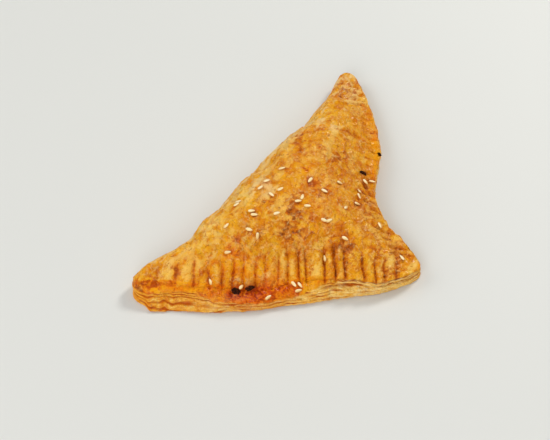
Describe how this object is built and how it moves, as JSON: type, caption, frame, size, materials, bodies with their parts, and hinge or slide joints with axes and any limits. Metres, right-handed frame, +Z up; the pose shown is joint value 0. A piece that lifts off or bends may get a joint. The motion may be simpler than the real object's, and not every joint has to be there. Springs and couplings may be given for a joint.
{
  "type": "paneer puff",
  "caption": "Triangular puff-pastry turnover with a domed golden crust, fork-pressed edges, flaky cut sides and sesame seeds.",
  "frame": {"origin": "Middle of the puff's footprint, on the flat base that it rests on.", "axes": "+X runs along the fold, towards the sharp tip that the fork pressed; +Y points away from the square corner, towards the smooth folded side; +Z is up out of the base."},
  "size_m": [0.1774, 0.1051, 0.0307],
  "materials": {
    "crust": "baked puff pastry with egg wash: golden brown, semi-gloss and blistered, with pale flaky layers at the cut edges"
  },
  "bodies": {
    "root": {"puff": "crust"}
  },
  "joints": []
}
